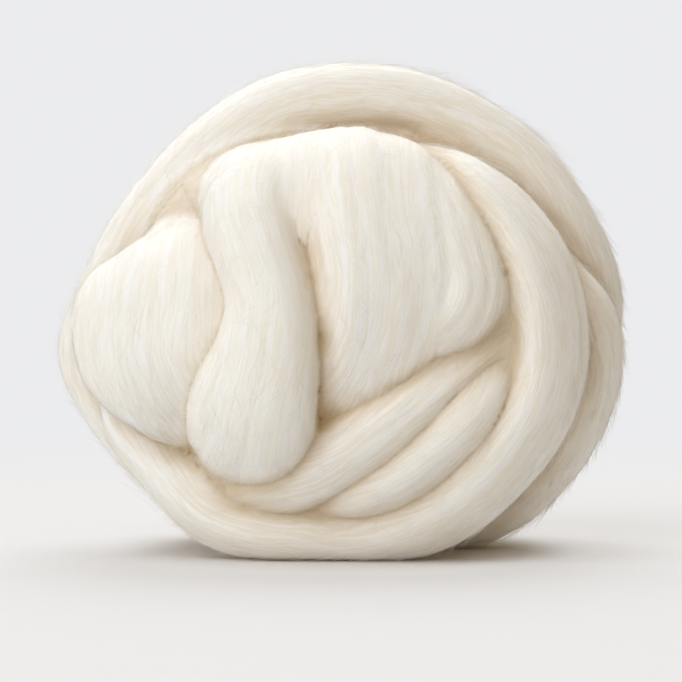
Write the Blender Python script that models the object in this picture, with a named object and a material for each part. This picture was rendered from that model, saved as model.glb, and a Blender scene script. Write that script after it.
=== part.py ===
"""A length of combed wool roving, wound on itself into a loose ball that rests on a small flat spot.

Metres, +Z up, +X to the ball's right, -Y to its front. The origin is under the middle, on the
surface that the ball rests on. The ball is one solid: a plump core, the strands that lie over it,
each swept along its own route, and a flat cut where it rests.
"""

import math
from collections import namedtuple

import bmesh
import bpy
from mathutils import Vector

MM = 0.001

# The ball as a whole
CENTRE = Vector((-0.4, -2.5, 62.4)) * MM  # its middle, which every place below is measured from
CORE_RADII = Vector((54, 45, 48)) * MM  # the packed middle, seen only in the hollows
REST_BLOCK = 400 * MM  # side of the block whose top is the surface that the ball rests on

# How a strand is meshed
SIDES = 14  # points round a strand
STEP = 8.0 * MM  # between two sections along a strand
ROUND_END = 9.0 * MM  # the length over which a strand's end closes
FULLNESS = 2.4  # a strand's section: 2 is an ellipse, more is a fuller one

# The finish
WOOL = (0.86, 0.82, 0.72, 1.0)
WOOL_ROUGHNESS = 0.95

Section = namedtuple("Section", "x y z width thick")  # millimetres; x y z from the ball's middle
Strand = namedtuple("Strand", "name hub sections")  # hub: the point that its flat side faces away from

BALL_HUB = (0, 0, 0)

STRANDS = [
    # Over the top from the left, down the right side and away behind: the widest turn that shows.
    Strand("hoop", BALL_HUB, [
        Section(-34, 16, -52, 22, 18),
        Section(-53, 9, -32, 26, 21),
        Section(-65, 5, -12, 26, 21),
        Section(-61, 3, 1, 26, 23),
        Section(-50, 1, 21, 26, 25),
        Section(-33, 2, 42, 26, 23),
        Section(-11, 4, 55, 27, 22),
        Section(19, 5, 55, 27, 22),
        Section(45, 5, 42, 27, 20),
        Section(59, 7, 24, 27, 19),
        Section(66, 13, 8, 27, 19),
        Section(65, 24, -6, 26, 19),
        Section(57, 37, -19, 25, 19),
        Section(43, 47, -31, 24, 18),
        Section(24, 51, -39, 23, 17),
        Section(4, 49, -45, 21, 16),
        Section(-16, 43, -48, 18, 14),
        Section(-34, 34, -44, 14, 12),
    ]),
    # Round the front's right and lower edge, from the top right to the far left.
    Strand("front ring", BALL_HUB, [
        Section(2, -4, 34, 14, 12),
        Section(14, -16, 39, 15, 13),
        Section(26, -25, 36, 17, 14),
        Section(34, -32, 30, 19, 16),
        Section(42, -36, 21, 22, 17),
        Section(48, -38, 10, 25, 18),
        Section(51, -38, -2, 27, 18),
        Section(51, -38, -14, 26, 18),
        Section(47, -38, -26, 25, 18),
        Section(38, -37, -38, 24, 18),
        Section(26, -34, -48, 24, 19),
        Section(11, -31, -54, 23, 19),
        Section(-5, -29, -55, 23, 19),
        Section(-20, -29, -54, 22, 19),
        Section(-34, -28, -49, 21, 18),
        Section(-46, -26, -38, 19, 16),
        Section(-54, -22, -29, 17, 15),
        Section(-57, -13, -20, 15, 13),
        Section(-56, -3, -10, 12, 11),
    ]),
    # A full turn just behind the front ring, seen between it and the hoop.
    Strand("middle ring", BALL_HUB, [
        Section(0, 0, 35, 14, 12),
        Section(14, -5, 39, 16, 13),
        Section(28, -11, 36, 20, 15),
        Section(41, -15, 27, 22, 16),
        Section(50, -17, 15, 24, 17),
        Section(54, -18, 1, 24, 17),
        Section(55, -18, -15, 24, 17),
        Section(49, -18, -30, 24, 17),
        Section(38, -16, -43, 24, 17),
        Section(22, -14, -51, 24, 17),
        Section(0, -12, -55, 24, 17),
        Section(-22, -11, -52, 24, 17),
        Section(-39, -11, -42, 22, 16),
        Section(-50, -11, -28, 21, 15),
        Section(-55, -10, -13, 20, 14),
        Section(-54, -10, 2, 20, 14),
        Section(-45, -9, 14, 18, 13),
        Section(-33, -7, 24, 16, 12),
        Section(-20, -6, 29, 12, 10),
    ]),
    # The low right shoulder, which runs under the ball.
    Strand("right rear ring", BALL_HUB, [
        Section(40, 4, 32, 14, 10),
        Section(50, 0, 20, 18, 12),
        Section(58, -4, 9, 20, 15),
        Section(63, -5, 0, 26, 19),
        Section(65, -3, -9, 28, 20),
        Section(64, -1, -18, 28, 20),
        Section(60, 1, -29, 28, 20),
        Section(53, 3, -40, 28, 19),
        Section(41, 5, -50, 28, 19),
        Section(22, 8, -54, 27, 20),
        Section(2, 10, -55, 26, 20),
        Section(-18, 12, -54, 24, 18),
    ]),
    # Falls out of the top inside the hoop and spreads where it tucks in at the bottom.
    Strand("left tongue", BALL_HUB, [
        Section(-16, -2, 29, 18, 14),
        Section(-20, -15, 35, 24, 17),
        Section(-22, -31, 32, 25, 19),
        Section(-23, -42, 23, 23, 20),
        Section(-20, -48, 13, 21, 20),
        Section(-17, -51, 2, 22, 20),
        Section(-18, -52, -9, 26, 20),
        Section(-21, -50, -20, 32, 20),
        Section(-23, -45, -28, 34, 19),
        Section(-26, -37, -34, 30, 17),
        Section(-28, -27, -36, 22, 14),
    ]),
    # The strip in the crease between the tongue and the bulge.
    Strand("tucked fold", BALL_HUB, [
        Section(-7, -8, 36, 18, 14),
        Section(-7, -22, 40, 22, 15),
        Section(-7, -35, 34, 21, 16),
        Section(-7, -42, 22, 16, 15),
        Section(-6, -42, 9, 10, 11),
    ]),
    # The plump fold in the middle, which narrows as it turns under to the left.
    Strand("middle bulge", BALL_HUB, [
        Section(6, -2, 33, 30, 16),
        Section(8, -17, 38, 34, 19),
        Section(9, -33, 34, 36, 20),
        Section(10, -43, 21, 38, 22),
        Section(12, -48, 7, 38, 22),
        Section(10, -47, -7, 34, 21),
        Section(4, -43, -20, 26, 18),
        Section(-4, -36, -29, 18, 15),
        Section(-10, -27, -35, 13, 12),
    ]),
    # The same strand's right edge, folded over beside the bulge.
    Strand("right fold", BALL_HUB, [
        Section(18, -10, 31, 16, 13),
        Section(22, -25, 34, 18, 16),
        Section(25, -36, 27, 20, 17),
        Section(29, -43, 15, 22, 18),
        Section(31, -46, 4, 23, 18),
        Section(26, -47, -5, 20, 17),
        Section(15, -46, -12, 18, 16),
        Section(4, -42, -20, 16, 14),
        Section(-4, -33, -27, 12, 11),
    ]),
    # A thin twisted turn below the bulge, from the right to the lower left.
    Strand("lower fold", BALL_HUB, [
        Section(41, -37, 1, 12, 12),
        Section(38, -42, -6, 15, 14),
        Section(24, -45, -17, 18, 16),
        Section(11, -45, -28, 21, 17),
        Section(-1, -42, -36, 22, 17),
        Section(-14, -38, -42, 18, 15),
        Section(-25, -32, -45, 13, 12),
        Section(-33, -24, -44, 9, 9),
    ]),
    # The sliver between the lower fold and the front ring.
    Strand("lower crescent", BALL_HUB, [
        Section(42, -33, -2, 12, 11),
        Section(39, -40, -13, 16, 14),
        Section(33, -43, -23, 19, 16),
        Section(24, -43, -32, 19, 16),
        Section(13, -41, -40, 18, 16),
        Section(1, -37, -46, 15, 13),
        Section(-9, -28, -48, 9, 9),
    ]),
    # The broad pillow at the left, which faces more to the side than the rest.
    Strand("left lobe", (-18, 30, -4), [
        Section(-39, -2, 15, 24, 14),
        Section(-41, -16, 16, 34, 17),
        Section(-43, -30, 11, 45, 20),
        Section(-44, -37, 2, 49, 22),
        Section(-45, -39, -9, 46, 22),
        Section(-43, -38, -18, 37, 20),
        Section(-39, -34, -26, 23, 16),
        Section(-35, -26, -32, 12, 10),
    ]),
    # A full turn behind the first, lower on the shoulder.
    Strand("second hoop", BALL_HUB, [
        Section(-34, 24, -46, 18, 14),
        Section(-46, 23, -33, 22, 17),
        Section(-56, 24, -16, 25, 18),
        Section(-58, 26, 0, 26, 19),
        Section(-54, 27, 17, 26, 19),
        Section(-42, 28, 33, 26, 19),
        Section(-24, 29, 44, 26, 19),
        Section(-2, 30, 48, 26, 19),
        Section(20, 31, 45, 26, 19),
        Section(38, 32, 34, 26, 19),
        Section(50, 31, 19, 26, 18),
        Section(56, 28, 2, 26, 18),
        Section(57, 24, -15, 26, 18),
        Section(51, 22, -31, 26, 18),
        Section(39, 22, -44, 26, 18),
        Section(20, 24, -51, 26, 18),
        Section(-2, 25, -53, 26, 18),
        Section(-22, 25, -50, 24, 17),
        Section(-38, 24, -42, 20, 15),
    ]),
    # The turn that frames the back.
    Strand("back ring", BALL_HUB, [
        Section(-8, 34, 40, 16, 14),
        Section(-26, 41, 35, 22, 17),
        Section(-40, 45, 22, 24, 18),
        Section(-47, 47, 5, 25, 18),
        Section(-47, 47, -13, 25, 18),
        Section(-39, 45, -30, 25, 18),
        Section(-24, 41, -43, 25, 18),
        Section(-4, 37, -50, 25, 18),
        Section(18, 35, -50, 25, 18),
        Section(36, 36, -41, 24, 18),
        Section(47, 39, -27, 24, 18),
        Section(51, 42, -10, 24, 18),
        Section(50, 43, 8, 24, 18),
        Section(42, 42, 24, 23, 17),
        Section(28, 39, 36, 20, 16),
        Section(12, 34, 41, 16, 14),
    ]),
    # The plump fold in the middle of the back.
    Strand("back bulge", BALL_HUB, [
        Section(-6, 20, 36, 20, 15),
        Section(-6, 36, 36, 26, 18),
        Section(-3, 48, 27, 31, 20),
        Section(3, 55, 13, 33, 21),
        Section(8, 57, -2, 33, 21),
        Section(11, 55, -17, 31, 20),
        Section(11, 47, -31, 26, 17),
        Section(9, 36, -42, 20, 14),
    ]),
    # Beside it, to the left as seen from the front.
    Strand("back tongue", BALL_HUB, [
        Section(-20, 26, 32, 18, 14),
        Section(-26, 39, 27, 22, 17),
        Section(-27, 49, 14, 25, 19),
        Section(-23, 55, 0, 27, 20),
        Section(-18, 55, -14, 28, 19),
        Section(-15, 49, -28, 26, 17),
        Section(-13, 39, -40, 18, 14),
    ]),
    # Beside it, to the right as seen from the front.
    Strand("back shoulder", BALL_HUB, [
        Section(18, 22, 38, 16, 12),
        Section(24, 37, 34, 20, 16),
        Section(29, 46, 22, 22, 18),
        Section(33, 51, 7, 23, 18),
        Section(34, 51, -7, 22, 18),
        Section(31, 47, -21, 20, 16),
        Section(24, 40, -34, 16, 14),
    ]),
]


def spline(before, start, end, after, t):
    """A point at t, from 0 to 1, between start and end, on a smooth curve through all four."""
    return 0.5 * (
        2 * start
        + (end - before) * t
        + (2 * before - 5 * start + 4 * end - after) * t**2
        + (3 * start - before - 3 * end + after) * t**3
    )


def along(strand):
    """Sections read from the smooth curve through the strand's own, about STEP apart."""
    rows = [(CENTRE + Vector(s[:3]) * MM, Vector(s[3:]) * MM) for s in strand.sections]
    last = len(rows) - 1
    found = []
    for i in range(last):
        near = [rows[max(0, min(last, i + k))] for k in (-1, 0, 1, 2)]
        middles = [row[0] for row in near]
        sizes = [row[1].to_3d() for row in near]
        steps = max(1, round((middles[2] - middles[1]).length / STEP))
        for k in range(steps):
            found.append((spline(*middles, k / steps), spline(*sizes, k / steps)))
    found.append((rows[last][0], rows[last][1].to_3d()))
    return found


def closing(distance):
    """How much of its size a strand keeps at this distance from its end."""
    if distance >= ROUND_END:
        return 1.0
    return math.sqrt(1 - (1 - distance / ROUND_END) ** 2)


def sweep(strand, collection):
    """A closed tube along the strand's route, its wide side facing away from the hub."""
    sections = along(strand)
    hub = CENTRE + Vector(strand.hub) * MM
    middles = [middle for middle, _ in sections]
    travelled = [0.0]
    for a, b in zip(middles, middles[1:]):
        travelled.append(travelled[-1] + (b - a).length)
    bm = bmesh.new()
    rings = []
    for i in range(1, len(sections) - 1):
        middle, size = sections[i]
        heading = (middles[i + 1] - middles[i - 1]).normalized()
        outward = middle - hub
        outward = (outward - heading * outward.dot(heading)).normalized()
        aside = heading.cross(outward)
        keep = closing(min(travelled[i], travelled[-1] - travelled[i]))
        ring = []
        for k in range(SIDES):
            turn = 2 * math.pi * (k + 0.5) / SIDES
            reach = abs(math.cos(turn)) ** FULLNESS + abs(math.sin(turn)) ** FULLNESS
            reach = keep * reach ** (-1 / FULLNESS) / 2
            ring.append(bm.verts.new(
                middle
                + aside * (math.cos(turn) * reach * size.x)
                + outward * (math.sin(turn) * reach * size.y)
            ))
        rings.append(ring)
    for lower, upper in zip(rings, rings[1:]):
        for k in range(SIDES):
            after = (k + 1) % SIDES
            bm.faces.new((lower[k], lower[after], upper[after], upper[k]))
    tips = [bm.verts.new(middles[0]), bm.verts.new(middles[-1])]
    for tip, ring in zip(tips, (rings[0], rings[-1])):
        for k in range(SIDES):
            bm.faces.new((tip, ring[k], ring[(k + 1) % SIDES]))
    bmesh.ops.recalc_face_normals(bm, faces=bm.faces)
    return finished(strand.name, bm, collection)


def finished(name, bm, collection):
    """The mesh as a smooth-shaded object in this collection."""
    mesh = bpy.data.meshes.new(name)
    bm.to_mesh(mesh)
    bm.free()
    mesh.shade_smooth()
    obj = bpy.data.objects.new(name, mesh)
    collection.objects.link(obj)
    return obj


def core(collection):
    """The packed middle, which the strands lie on and which becomes the ball."""
    bm = bmesh.new()
    bmesh.ops.create_icosphere(bm, subdivisions=4, radius=1)
    bmesh.ops.scale(bm, verts=bm.verts, vec=CORE_RADII)
    bmesh.ops.translate(bm, verts=bm.verts, vec=CENTRE)
    return finished("roving_ball", bm, collection)


def surface_block(collection):
    """What the ball rests on, which flattens its underside."""
    bm = bmesh.new()
    bmesh.ops.create_cube(bm, size=REST_BLOCK)
    bmesh.ops.translate(bm, verts=bm.verts, vec=(0, 0, -REST_BLOCK / 2))
    return finished("resting surface", bm, collection)


def helper(obj):
    """Marked as something that only shapes the ball."""
    obj.hide_render = True
    obj.display_type = "WIRE"
    return obj


def wool():
    material = bpy.data.materials.new("ivory wool")
    material.use_nodes = True
    shader = material.node_tree.nodes["Principled BSDF"]
    shader.inputs["Base Color"].default_value = WOOL
    shader.inputs["Roughness"].default_value = WOOL_ROUGHNESS
    shader.inputs["Metallic"].default_value = 0.0
    return material


def main():
    for obj in list(bpy.data.objects):
        bpy.data.objects.remove(obj)
    shown = bpy.context.scene.collection
    laid = bpy.data.collections.new("strands")
    shown.children.link(laid)
    for strand in STRANDS:
        helper(sweep(strand, laid))
    ball = core(shown)
    ball.data.materials.append(wool())
    wound = ball.modifiers.new("wound strands", "BOOLEAN")
    wound.operation = "UNION"
    wound.operand_type = "COLLECTION"
    wound.collection = laid
    wound.solver = "EXACT"
    wound.use_self = True
    rest = ball.modifiers.new("flat spot", "BOOLEAN")
    rest.operation = "DIFFERENCE"
    rest.solver = "EXACT"
    rest.object = helper(surface_block(shown))


main()
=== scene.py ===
# %% [markdown]
# # A ball of wool roving
#
# Roving is wool that has been washed and combed until its fibres all lie one way, in a soft strand
# about as thick as two fingers. Nothing spins it, so it keeps no twist. To store it, the strand is
# wound loosely on itself: a few folds in the middle, and long turns that go round them.
#
# This lesson builds that ball from its large forms to its small ones: the strands and their
# routes, one skin over all of them, its grooves and creases, the streaks of combed wool, and the
# loose fibres that soften it. The floor, the light and the camera come last.

# %% Load the frame
import math
from collections import namedtuple

import bmesh
import bpy
import numpy as np
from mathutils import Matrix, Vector
from mathutils.bvhtree import BVHTree


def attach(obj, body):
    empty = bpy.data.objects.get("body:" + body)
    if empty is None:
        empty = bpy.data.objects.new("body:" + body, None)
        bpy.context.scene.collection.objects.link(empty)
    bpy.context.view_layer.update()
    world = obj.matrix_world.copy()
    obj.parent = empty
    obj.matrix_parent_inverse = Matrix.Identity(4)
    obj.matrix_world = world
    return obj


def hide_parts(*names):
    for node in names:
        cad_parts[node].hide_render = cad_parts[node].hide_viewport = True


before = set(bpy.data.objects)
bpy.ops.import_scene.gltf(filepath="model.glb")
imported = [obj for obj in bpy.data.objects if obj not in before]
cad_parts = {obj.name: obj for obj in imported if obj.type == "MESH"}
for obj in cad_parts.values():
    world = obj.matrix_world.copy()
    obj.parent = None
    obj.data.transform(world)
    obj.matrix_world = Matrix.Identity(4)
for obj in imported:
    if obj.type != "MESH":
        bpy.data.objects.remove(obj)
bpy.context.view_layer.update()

MM = 0.001

# %% [markdown]
# ## The strands and their routes
#
# A wound ball is hard to sculpt as one lump, because what the eye follows is where each strand
# goes. So every strand that shows gets a route: a short table of sections, each with a place and
# how wide and thick the strand is there. A smooth curve through those rows gives the rest. The
# places are in millimetres from the ball's middle. A strand is flat-sided where it lies on the
# ball, so each section turns its wide side away from a hub, which is the ball's middle for all
# but the pillow at the left.
#
# comb says how deep the grooves along that strand are, and how many millimetres they lie apart.
# edge says how deep the crease beside it is. Where two strands meet, the smaller edge of the two
# counts, and two short tables name the borders that differ. Under the strands lies a packed middle,
# full enough that no deep gap opens between two strands.

# %% The table of strands
CENTRE = np.array((-0.4, -2.5, 62.4))  # the ball's middle, in millimetres
CORE_RADII = np.array((54, 45, 48))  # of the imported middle
CORE_FULLNESS = 2.8  # 2 is an ellipsoid, more is a fuller one
BALL_HUB = (0, 0, 0)

Strand = namedtuple("Strand", "name hub comb edge sections")
Comb = namedtuple("Comb", "depth apart")

# Each section is a place, x, y and z from the ball's middle, then the width and the thickness.
STRANDS = [
    # Over the top from the left, down the right side and away behind.
    Strand("hoop", BALL_HUB, Comb(1.1, 6.5), 1.4, [
        (-34, 16, -52, 22, 18),
        (-53, 9, -32, 26, 21),
        (-65, 5, -12, 26, 21),
        (-61, 3, 1, 26, 23),
        (-50, 1, 21, 26, 25),
        (-33, 2, 42, 26, 23),
        (-11, 4, 55, 27, 22),
        (19, 5, 55, 27, 22),
        (45, 5, 42, 27, 20),
        (59, 7, 24, 27, 19),
        (66, 13, 8, 27, 19),
        (65, 24, -6, 26, 19),
        (57, 37, -19, 25, 19),
        (43, 47, -31, 24, 18),
        (24, 51, -39, 23, 17),
        (4, 49, -45, 21, 16),
        (-16, 43, -48, 18, 14),
        (-34, 34, -44, 14, 12),
    ]),
    # Round the front's right and lower edge, from the top right to the far left.
    Strand("front ring", BALL_HUB, Comb(1.1, 6.0), 1.4, [
        (2, -4, 34, 14, 12),
        (14, -16, 39, 15, 13),
        (26, -25, 36, 17, 14),
        (34, -32, 30, 19, 16),
        (42, -36, 21, 22, 17),
        (48, -38, 10, 25, 18),
        (51, -38, -2, 27, 18),
        (51, -38, -14, 26, 18),
        (47, -38, -26, 25, 18),
        (38, -37, -38, 24, 18),
        (26, -34, -48, 24, 19),
        (11, -31, -54, 23, 19),
        (-5, -29, -55, 23, 19),
        (-20, -29, -54, 22, 19),
        (-34, -28, -49, 21, 18),
        (-46, -26, -38, 19, 16),
        (-54, -22, -29, 17, 15),
        (-57, -13, -20, 15, 13),
        (-56, -3, -10, 12, 11),
    ]),
    # A full turn just behind the front ring.
    Strand("middle ring", BALL_HUB, Comb(0.9, 6.0), 1.4, [
        (0, 0, 35, 14, 12),
        (14, -5, 39, 16, 13),
        (28, -11, 36, 20, 15),
        (41, -15, 27, 22, 16),
        (50, -17, 15, 24, 17),
        (54, -18, 1, 24, 17),
        (55, -18, -15, 24, 17),
        (49, -18, -30, 24, 17),
        (38, -16, -43, 24, 17),
        (22, -14, -51, 24, 17),
        (0, -12, -55, 24, 17),
        (-22, -11, -52, 24, 17),
        (-39, -11, -42, 22, 16),
        (-50, -11, -28, 21, 15),
        (-55, -10, -13, 20, 14),
        (-54, -10, 2, 20, 14),
        (-45, -9, 14, 18, 13),
        (-33, -7, 24, 16, 12),
        (-20, -6, 29, 12, 10),
    ]),
    # The low right shoulder, which runs under the ball.
    Strand("right rear ring", BALL_HUB, Comb(0.9, 6.5), 1.4, [
        (40, 4, 32, 14, 10),
        (50, 0, 20, 18, 12),
        (58, -4, 9, 20, 15),
        (63, -5, 0, 26, 19),
        (65, -3, -9, 28, 20),
        (64, -1, -18, 28, 20),
        (60, 1, -29, 28, 20),
        (53, 3, -40, 28, 19),
        (41, 5, -50, 28, 19),
        (22, 8, -54, 27, 20),
        (2, 10, -55, 26, 20),
        (-18, 12, -54, 24, 18),
    ]),
    # Falls out of the top inside the hoop and spreads where it tucks in.
    Strand("left tongue", BALL_HUB, Comb(0.4, 5.5), 1.4, [
        (-16, -2, 29, 18, 14),
        (-20, -15, 35, 24, 17),
        (-22, -31, 32, 25, 19),
        (-23, -42, 23, 23, 20),
        (-20, -48, 13, 21, 20),
        (-17, -51, 2, 22, 20),
        (-18, -52, -9, 26, 20),
        (-21, -50, -20, 32, 20),
        (-23, -45, -28, 34, 19),
        (-26, -37, -34, 30, 17),
        (-28, -27, -36, 22, 14),
    ]),
    # The strip in the crease between the tongue and the bulge.
    Strand("tucked fold", BALL_HUB, Comb(0.3, 4.5), 1.0, [
        (-7, -8, 36, 18, 14),
        (-7, -22, 40, 22, 15),
        (-7, -35, 34, 21, 16),
        (-7, -42, 22, 16, 15),
        (-6, -42, 9, 10, 11),
    ]),
    # The plump fold in the middle, which narrows as it turns under to the left.
    Strand("middle bulge", BALL_HUB, Comb(0.7, 6.0), 1.4, [
        (6, -2, 33, 30, 16),
        (8, -17, 38, 34, 19),
        (9, -33, 34, 36, 20),
        (10, -43, 21, 38, 22),
        (12, -48, 7, 38, 22),
        (10, -47, -7, 34, 21),
        (4, -43, -20, 26, 18),
        (-4, -36, -29, 18, 15),
        (-10, -27, -35, 13, 12),
    ]),
    # The same strand's right edge, folded over beside the bulge.
    Strand("right fold", BALL_HUB, Comb(0.7, 5.0), 1.4, [
        (18, -10, 31, 16, 13),
        (22, -25, 34, 18, 16),
        (25, -36, 27, 20, 17),
        (29, -43, 15, 22, 18),
        (31, -46, 4, 23, 18),
        (26, -46, -5, 20, 17),
        (15, -43, -11, 16, 14),
        (4, -38, -19, 14, 13),
        (-4, -31, -26, 12, 11),
    ]),
    # A thin twisted turn below the bulge, from the right to the lower left.
    Strand("lower fold", BALL_HUB, Comb(1.0, 4.5), 1.4, [
        (41, -37, 1, 12, 12),
        (38, -42, -6, 15, 14),
        (24, -45, -17, 18, 16),
        (11, -45, -28, 21, 17),
        (-1, -42, -36, 22, 17),
        (-14, -38, -42, 18, 15),
        (-25, -32, -45, 13, 12),
        (-33, -24, -44, 9, 9),
    ]),
    # The sliver between the lower fold and the front ring.
    Strand("lower crescent", BALL_HUB, Comb(0.6, 4.5), 1.1, [
        (42, -33, -2, 12, 11),
        (39, -40, -13, 16, 14),
        (33, -43, -23, 19, 16),
        (24, -43, -32, 19, 16),
        (13, -41, -40, 18, 16),
        (1, -37, -46, 15, 13),
        (-9, -28, -48, 9, 9),
    ]),
    # The broad pillow at the left, which faces more to the side than the rest.
    Strand("left lobe", (-18, 30, -4), Comb(0.4, 7.0), 1.4, [
        (-39, -2, 15, 24, 14),
        (-41, -16, 16, 34, 17),
        (-43, -30, 11, 45, 20),
        (-44, -37, 2, 49, 22),
        (-45, -39, -9, 46, 22),
        (-43, -38, -18, 37, 20),
        (-39, -34, -26, 23, 16),
        (-35, -26, -32, 12, 10),
    ]),
    # A full turn behind the hoop, lower on the shoulder.
    Strand("second hoop", BALL_HUB, Comb(1.0, 6.5), 1.4, [
        (-34, 24, -46, 18, 14),
        (-46, 23, -33, 22, 17),
        (-56, 24, -16, 25, 18),
        (-58, 26, 0, 26, 19),
        (-54, 27, 17, 26, 19),
        (-42, 28, 33, 26, 19),
        (-24, 29, 44, 26, 19),
        (-2, 30, 48, 26, 19),
        (20, 31, 45, 26, 19),
        (38, 32, 34, 26, 19),
        (50, 31, 19, 26, 18),
        (56, 28, 2, 26, 18),
        (57, 24, -15, 26, 18),
        (51, 22, -31, 26, 18),
        (39, 22, -44, 26, 18),
        (20, 24, -51, 26, 18),
        (-2, 25, -53, 26, 18),
        (-22, 25, -50, 24, 17),
        (-38, 24, -42, 20, 15),
    ]),
    # The turn that frames the back.
    Strand("back ring", BALL_HUB, Comb(1.0, 6.5), 1.4, [
        (-8, 34, 40, 16, 14),
        (-26, 41, 35, 22, 17),
        (-40, 45, 22, 24, 18),
        (-47, 47, 5, 25, 18),
        (-47, 47, -13, 25, 18),
        (-39, 45, -30, 25, 18),
        (-24, 41, -43, 25, 18),
        (-4, 37, -50, 25, 18),
        (18, 35, -50, 25, 18),
        (36, 36, -41, 24, 18),
        (47, 39, -27, 24, 18),
        (51, 42, -10, 24, 18),
        (50, 43, 8, 24, 18),
        (42, 42, 24, 23, 17),
        (28, 39, 36, 20, 16),
        (12, 34, 41, 16, 14),
    ]),
    # The plump fold in the middle of the back.
    Strand("back bulge", BALL_HUB, Comb(0.8, 5.5), 1.4, [
        (-6, 20, 36, 20, 15),
        (-6, 36, 36, 26, 18),
        (-3, 48, 27, 31, 20),
        (3, 55, 13, 33, 21),
        (8, 57, -2, 33, 21),
        (11, 55, -17, 31, 20),
        (11, 47, -31, 26, 17),
        (9, 36, -42, 20, 14),
    ]),
    # Beside it, to the left as seen from the front.
    Strand("back tongue", BALL_HUB, Comb(0.7, 5.5), 1.4, [
        (-20, 26, 32, 18, 14),
        (-26, 39, 27, 22, 17),
        (-27, 49, 14, 25, 19),
        (-23, 55, 0, 27, 20),
        (-18, 55, -14, 28, 19),
        (-15, 49, -28, 26, 17),
        (-13, 39, -40, 18, 14),
    ]),
    # Beside it, to the right as seen from the front.
    Strand("back shoulder", BALL_HUB, Comb(0.7, 5.0), 0.9, [
        (18, 22, 38, 16, 12),
        (24, 37, 34, 20, 16),
        (29, 46, 22, 22, 18),
        (33, 51, 7, 23, 18),
        (34, 51, -7, 22, 18),
        (31, 47, -21, 20, 16),
        (24, 40, -34, 16, 14),
    ]),
]

# Strands that make one broad fold: their border is smoothed about this far to each side.
ONE_FOLD = {
    ("right fold", "middle bulge"): 4.0,
    ("tucked fold", "middle bulge"): 2.0,
    ("tucked fold", "left tongue"): 2.0,
}
# Borders where one strand leans on the other so softly that the crease is only this deep.
LEANING = {
    ("left lobe", "left tongue"): 0.7,
    ("left lobe", "hoop"): 0.7,
}
NUMBER = {strand.name: number for number, strand in enumerate(STRANDS)}
print(len(STRANDS), "strands,", sum(len(s.sections) for s in STRANDS), "sections")

# %% [markdown]
# ## From a table to a smooth route
#
# A Catmull-Rom curve passes through every row of the table and bends evenly between them, so the
# table can stay short. Along it we need three directions at each step: ahead, outward from the
# hub, and aside. With those, a point on the strand's skin is a distance aside and one outward.

# %% Smooth routes
ROW_STEP = 2.6  # millimetres between two rows of a strand's skin

Route = namedtuple("Route", "middle outward aside size travelled")


def smooth(rows):
    """The rows of a table, read about ROW_STEP apart on a smooth curve through them."""
    rows = np.array(rows, float)
    padded = np.vstack((rows[:1], rows, rows[-1:]))
    found = []
    for before, start, end, after in zip(padded, padded[1:], padded[2:], padded[3:]):
        steps = max(1, round(np.linalg.norm(end[:3] - start[:3]) / ROW_STEP))
        t = (np.arange(steps) / steps)[:, None]
        found.append(0.5 * (
            2 * start + (end - before) * t
            + (2 * before - 5 * start + 4 * end - after) * t**2
            + (3 * start - before - 3 * end + after) * t**3
        ))
    return np.vstack((*found, rows[-1:]))


def unit(vectors):
    """The same directions, each one long."""
    return vectors / np.linalg.norm(vectors, axis=-1, keepdims=True)


def route_of(strand):
    """Where a strand runs, which way is outward and aside there, and how far it has come."""
    rows = smooth(strand.sections)
    middle = rows[:, :3] + CENTRE
    ahead = unit(np.gradient(middle, axis=0))
    outward = middle - (CENTRE + strand.hub)
    outward = unit(outward - ahead * (outward * ahead).sum(1, keepdims=True))
    aside = np.cross(ahead, outward)
    steps = np.linalg.norm(np.diff(middle, axis=0), axis=1)
    travelled = np.concatenate(([0], np.cumsum(steps)))
    return Route(middle, outward, aside, rows[:, 3:], travelled)


routes = {strand.name: route_of(strand) for strand in STRANDS}
print("all the strands together are", round(sum(r.travelled[-1] for r in routes.values())), "mm long")

# %% [markdown]
# ## The plain skin of each strand
#
# Each strand becomes a closed tube: rows of points round its section, with a tip at each end. For
# every point we also keep how far along the strand it lies and how far across, counted from the
# side that faces outward. Those two lengths are what the fibres and the finish follow later on.
#
# Every section is made PUFF larger on all sides here, so that strands that only just touch grow
# together. The next steps take it off again.

# %% Skins
ROUND_END = 9.0  # the length over which a strand's end closes, in millimetres
FULLNESS = 2.4  # a strand's section: 2 is an ellipse, more is a fuller one
COLUMNS = 48  # points round a section
PUFF = 0.1  # millimetres

Skin = namedtuple("Skin", "points along across")


def section_reach(turn):
    """How far a section one wide and one thick reaches at this angle."""
    c, s = np.abs(np.cos(turn)), np.abs(np.sin(turn))
    return (c**FULLNESS + s**FULLNESS) ** (-1 / FULLNESS) / 2


def skin_of(strand):
    """The closed tube of a strand, with the lengths along and across it."""
    route = routes[strand.name]
    turn = np.linspace(-math.pi, math.pi, COLUMNS + 1)
    flat = -np.sin(turn) * section_reach(turn)
    tall = np.cos(turn) * section_reach(turn)
    wide, thick = route.size.T[..., None]
    steps = np.hypot(np.diff(flat * wide, axis=1), np.diff(tall * thick, axis=1))
    across = np.concatenate((np.zeros((len(steps), 1)), np.cumsum(steps, axis=1)), axis=1)
    across -= across[:, COLUMNS // 2][:, None]
    from_end = np.minimum(route.travelled, route.travelled[-1] - route.travelled)
    ends = np.clip(from_end / ROUND_END, 0, 1)[:, None]
    keep = np.sqrt(1 - (1 - ends) ** 2)
    points = (
        route.middle[:, None]
        + route.aside[:, None] * (flat * ((wide + 2 * PUFF) * keep))[..., None]
        + route.outward[:, None] * (tall * ((thick + 2 * PUFF) * keep))[..., None]
    )[:, :COLUMNS]
    return Skin(points, route.travelled, across)


skins = {strand.name: skin_of(strand) for strand in STRANDS}
print("points in the skins:", sum(skin.points.size // 3 for skin in skins.values()))

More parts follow.
